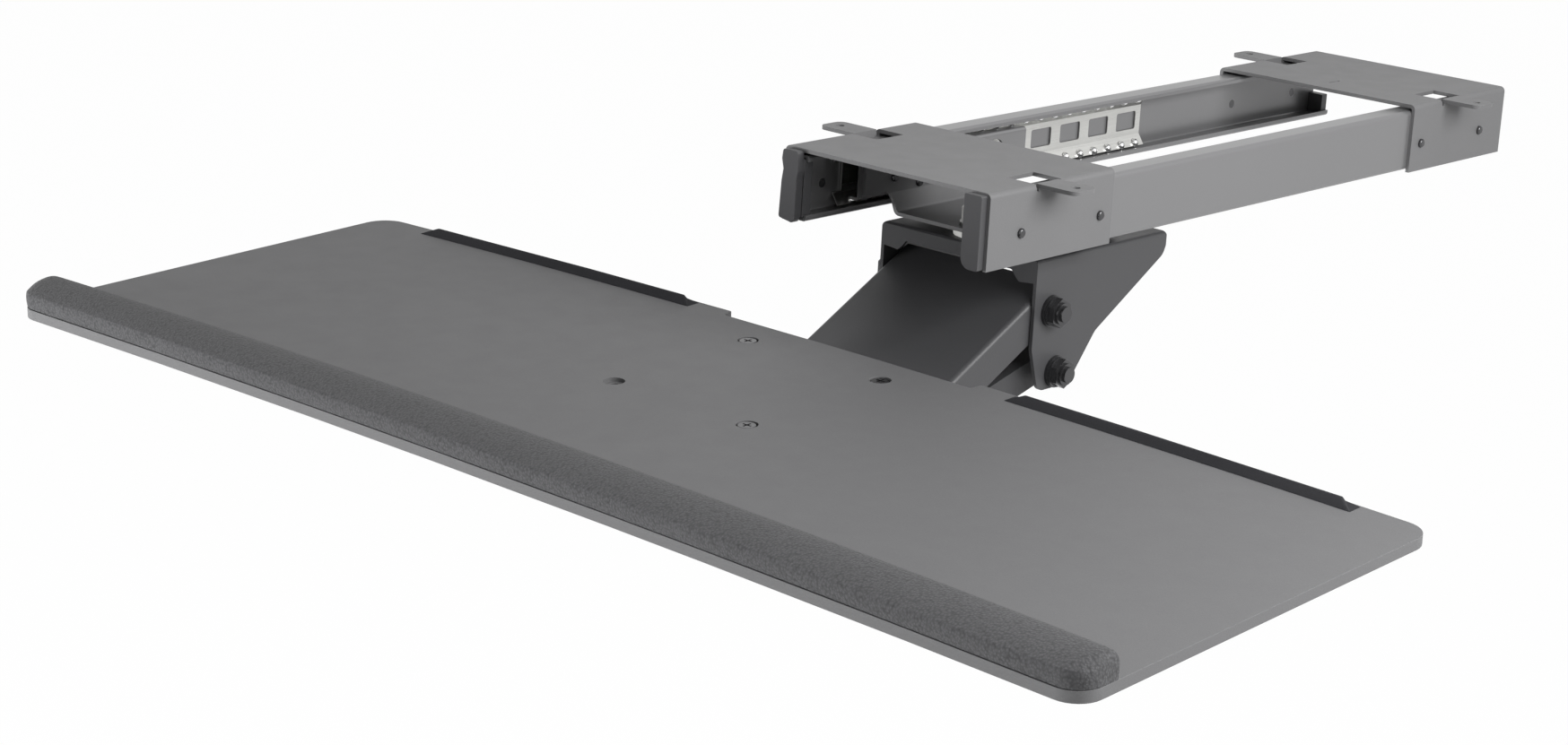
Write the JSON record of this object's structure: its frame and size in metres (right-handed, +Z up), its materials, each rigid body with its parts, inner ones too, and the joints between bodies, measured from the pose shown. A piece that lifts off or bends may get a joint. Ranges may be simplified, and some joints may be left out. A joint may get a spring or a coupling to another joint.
{
  "type": "keyboard tray under desk",
  "caption": "Under-desk keyboard tray with palm rest, on an arm that lifts, tilts and swivels from a sliding ball-bearing track",
  "frame": {"origin": "middle of the four desk screw holes, on the top faces of the track's brackets, which touch the desk's underside", "axes": "+Z up into the desk, along the desk screws; +Y back under the desk, along the track; +X to the user's right, along the tray's width"},
  "size_m": [0.66, 0.7249, 0.1686],
  "materials": {
    "bracket_steel": "satin dark grey powder coat",
    "rail_steel": "semi-gloss black zinc, mirror-like in part",
    "bare_steel": "zinc-plated, satin",
    "ball_steel": "polished",
    "bumper_plastic": "matt black",
    "disc_plastic": "smooth off-white",
    "arm_steel": "satin black powder coat",
    "black_fastener": "black oxide",
    "knob_plastic": "matt black",
    "board_plastic": "fine-grained dark grey",
    "foam": "soft matt skin",
    "strip_plastic": "matt dark grey"
  },
  "bodies": {
    "track": {"front_bracket": "bracket_steel", "rear_bracket": "bracket_steel", "left_outer_rail": "rail_steel", "right_outer_rail": "rail_steel", "left_front_bumper": "bumper_plastic", "right_front_bumper": "bumper_plastic", "rail_end_stops": "bumper_plastic", "front_bracket_rivets": "black_fastener", "rear_bracket_rivets": "black_fastener"},
    "left_cage": {"left_ball_cage": "bare_steel", "left_cage_balls": "ball_steel"},
    "right_cage": {"right_ball_cage": "bare_steel", "right_cage_balls": "ball_steel"},
    "carriage": {"left_inner_slide": "rail_steel", "right_inner_slide": "rail_steel", "carriage_pan": "bracket_steel", "carriage_rivets": "black_fastener", "swivel_bolt": "bare_steel", "swivel_nut": "bare_steel", "swivel_nut_washer": "bare_steel", "swivel_bearing_disc": "disc_plastic", "swivel_head_washers": "bare_steel"},
    "mount": {"arm_mount": "arm_steel", "upper_rear_bolt": "black_fastener", "lower_rear_bolt": "black_fastener", "rear_pivot_washers": "black_fastener", "rear_pivot_nuts": "black_fastener", "rear_link_spacers": "disc_plastic"},
    "upper_arm": {"upper_arm": "arm_steel"},
    "lower_link": {"lower_link": "arm_steel"},
    "head": {"head_bracket": "arm_steel", "upper_front_bolt": "black_fastener", "lower_front_bolt": "black_fastener", "front_pivot_washers": "black_fastener", "front_pivot_nuts": "black_fastener", "front_link_spacers": "disc_plastic", "tilt_bolt": "black_fastener", "tilt_washers": "bare_steel"},
    "tilt_knob": {"tilt_knob": "knob_plastic"},
    "board": {"tilt_plate": "arm_steel", "tray_board": "board_plastic", "palm_rest": "foam", "left_stop_strip": "strip_plastic", "right_stop_strip": "strip_plastic", "board_screws": "black_fastener", "board_screw_nuts": "bare_steel"}
  },
  "joints": [
    {"name": "carriage_slide", "type": "slide", "parent": "track", "child": "carriage", "axis": [0, 1, 0], "range_m": [0, 0.278]},
    {"name": "left_cage_slide", "type": "slide", "parent": "track", "child": "left_cage", "axis": [0, 1, 0], "range_m": [0, 0.139]},
    {"name": "right_cage_slide", "type": "slide", "parent": "track", "child": "right_cage", "axis": [0, 1, 0], "range_m": [0, 0.139]},
    {"name": "arm_swivel", "type": "hinge", "parent": "carriage", "child": "mount", "pos_m": [0, -0.1528, -0.0446], "axis": [0, 0, 1], "range_deg": [-90, 90]},
    {"name": "arm_lift", "type": "hinge", "parent": "mount", "child": "upper_arm", "pos_m": [0, -0.1584, -0.071], "axis": [-1, 0, 0], "range_deg": [-25, 12]},
    {"name": "link_lift", "type": "hinge", "parent": "mount", "child": "lower_link", "pos_m": [0, -0.1522, -0.1028], "axis": [-1, 0, 0], "range_deg": [-25, 12]},
    {"name": "head_level", "type": "hinge", "parent": "upper_arm", "child": "head", "pos_m": [0, -0.26288, -0.12585], "axis": [-1, 0, 0], "range_deg": [-12, 25]},
    {"name": "board_tilt", "type": "hinge", "parent": "head", "child": "board", "pos_m": [0, -0.28098, -0.11315], "axis": [-1, 0, 0], "range_deg": [-12, 12]},
    {"name": "knob_turn", "type": "hinge", "parent": "head", "child": "tilt_knob", "pos_m": [0, -0.28098, -0.11315], "axis": [1, 0, 0], "range_deg": [-180, 180]}
  ],
  "couplings": [
    {"joint": "left_cage_slide", "follows": "carriage_slide", "ratio": 0.5},
    {"joint": "right_cage_slide", "follows": "carriage_slide", "ratio": 0.5},
    {"joint": "link_lift", "follows": "arm_lift", "ratio": 1},
    {"joint": "head_level", "follows": "arm_lift", "ratio": -1}
  ]
}
